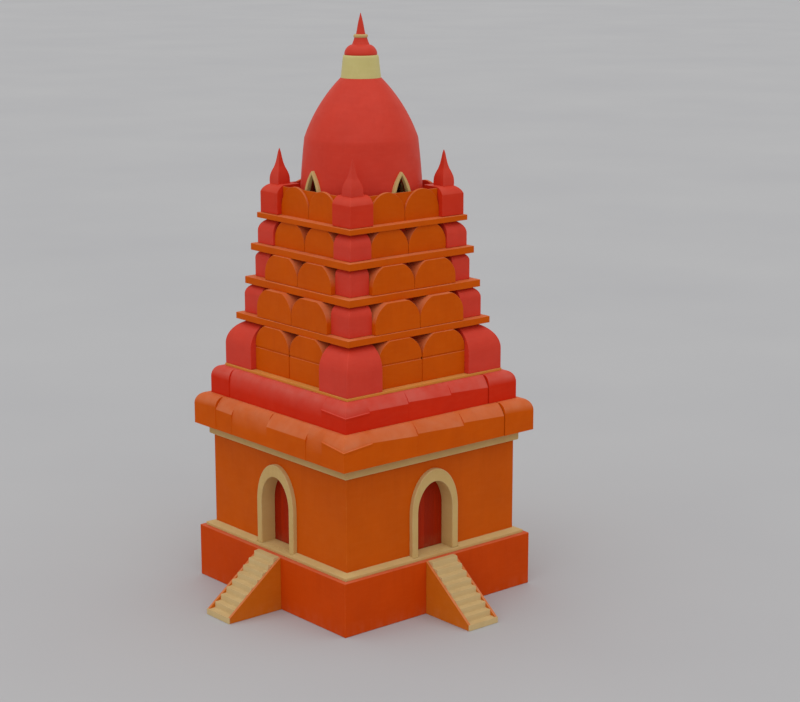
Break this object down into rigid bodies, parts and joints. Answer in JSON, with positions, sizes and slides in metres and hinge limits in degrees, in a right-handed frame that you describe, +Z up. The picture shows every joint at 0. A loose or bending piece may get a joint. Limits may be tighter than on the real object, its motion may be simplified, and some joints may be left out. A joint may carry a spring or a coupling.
{
  "type": "hindu temple",
  "caption": "Square Hindu shrine on a high plinth, with arched doorways, stairs, heavy cornices, a stepped tower of arched panels, corner pinnacles and a tall dome with a spire.",
  "frame": {"origin": "centre of the plinth's underside, on the ground", "axes": "+Z up; -Y faces out of the front doorway, +X to the right of the front"},
  "size_m": [12.2006, 12.2006, 19.21],
  "materials": {
    "vermilion_plaster": "limewashed lime plaster on masonry, vermilion",
    "orange_plaster": "limewashed lime plaster on masonry, saffron orange",
    "red_plaster": "painted lime plaster on masonry, temple red",
    "cream_plaster": "smooth lime plaster, cream",
    "tan_plaster": "limewashed lime plaster, tan",
    "pale_lime_plaster": "smooth lime plaster, pale lime yellow",
    "maroon_paint": "oil paint on planks, maroon"
  },
  "bodies": {
    "temple": {"crown_cap": "red_plaster", "crown_ring": "cream_plaster", "crown_spire": "red_plaster", "dome": "red_plaster", "dome_window_back": "cream_plaster", "dome_window_front": "cream_plaster", "dome_window_left": "cream_plaster", "dome_window_right": "cream_plaster", "door_surround_back": "cream_plaster", "door_surround_front": "cream_plaster", "door_surround_left": "cream_plaster", "door_surround_right": "cream_plaster", "floor": "cream_plaster", "neck_band": "pale_lime_plaster", "orange_cornice": "orange_plaster", "pinnacle_back_left": "red_plaster", "pinnacle_back_right": "red_plaster", "pinnacle_front_left": "red_plaster", "pinnacle_front_right": "red_plaster", "plinth": "vermilion_plaster", "plinth_trim": "cream_plaster", "red_cornice": "red_plaster", "slab_1": "orange_plaster", "slab_2": "orange_plaster", "slab_3": "orange_plaster", "stage_1_arched_panels": "orange_plaster", "stage_1_corner_blocks": "red_plaster", "stage_2_arched_panels": "orange_plaster", "stage_2_corner_blocks": "red_plaster", "stage_3_arched_panels": "orange_plaster", "stage_3_corner_blocks": "red_plaster", "stage_4_arched_panels": "orange_plaster", "stage_4_corner_blocks": "red_plaster", "stair_cheeks_back": "orange_plaster", "stair_cheeks_front": "orange_plaster", "stair_cheeks_left": "orange_plaster", "stair_cheeks_right": "orange_plaster", "stair_steps_back": "cream_plaster", "stair_steps_front": "cream_plaster", "stair_steps_left": "cream_plaster", "stair_steps_right": "cream_plaster", "string_course": "cream_plaster", "terrace_with_parapet": "orange_plaster", "tower_base_slab": "tan_plaster", "upper_wall": "orange_plaster", "wall_pier_back_left": "orange_plaster", "wall_pier_back_right": "orange_plaster", "wall_pier_front_left": "orange_plaster", "wall_pier_front_right": "orange_plaster"},
    "front_door": {"door_leaf_front": "maroon_paint"},
    "right_door": {"door_leaf_right": "maroon_paint"},
    "back_door": {"door_leaf_back": "maroon_paint"},
    "left_door": {"door_leaf_left": "maroon_paint"}
  },
  "joints": [
    {"name": "front_door_hinge", "type": "hinge", "parent": "temple", "child": "front_door", "pos_m": [-0.795, -3.165, 1.91], "axis": [0, 0, 1], "range_deg": [0, 95]},
    {"name": "right_door_hinge", "type": "hinge", "parent": "temple", "child": "right_door", "pos_m": [3.165, -0.795, 1.91], "axis": [0, 0, 1], "range_deg": [0, 95]},
    {"name": "back_door_hinge", "type": "hinge", "parent": "temple", "child": "back_door", "pos_m": [0.795, 3.165, 1.91], "axis": [0, 0, 1], "range_deg": [0, 95]},
    {"name": "left_door_hinge", "type": "hinge", "parent": "temple", "child": "left_door", "pos_m": [-3.165, 0.795, 1.91], "axis": [0, 0, 1], "range_deg": [0, 95]}
  ]
}
